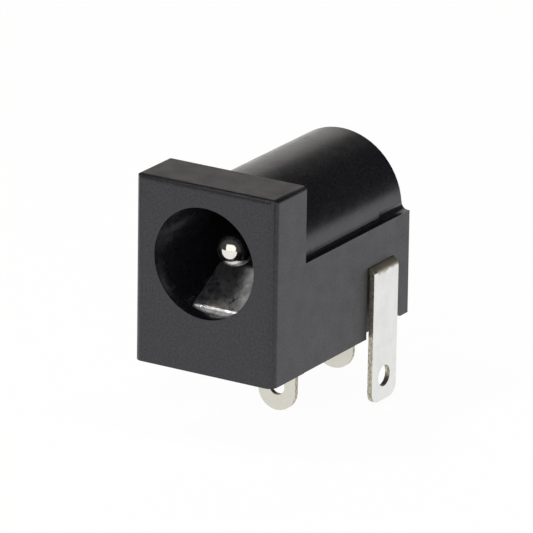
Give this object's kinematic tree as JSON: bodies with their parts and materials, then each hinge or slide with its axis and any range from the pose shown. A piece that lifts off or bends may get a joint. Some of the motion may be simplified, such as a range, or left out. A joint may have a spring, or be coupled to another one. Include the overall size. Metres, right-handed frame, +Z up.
{
  "type": "dc barrel jack",
  "caption": "Board-mounted DC barrel jack: black moulded socket with a flanged front, a fixed centre pin, a folded sleeve spring and a switched side contact, all with solder legs.",
  "frame": {"origin": "middle of the socket's mouth on the front face", "axes": "+X to the right seen from the front, towards the switch leg; +Y from the front face to the rear, along the socket's axis; +Z up, away from the board"},
  "size_m": [0.0093, 0.0144, 0.0152],
  "materials": {
    "black_moulding": "fine satin texture, smoother on the barrel",
    "plated_pin": "bright nickel plate",
    "tinned_sheet": "tin plate over brass sheet",
    "tinned_spring": "bright plate over spring bronze"
  },
  "bodies": {
    "root": {"housing": "black_moulding", "centre_pin": "plated_pin", "pin_terminal": "tinned_sheet", "sleeve_spring": "tinned_spring", "switch_contact": "tinned_sheet"}
  },
  "joints": []
}
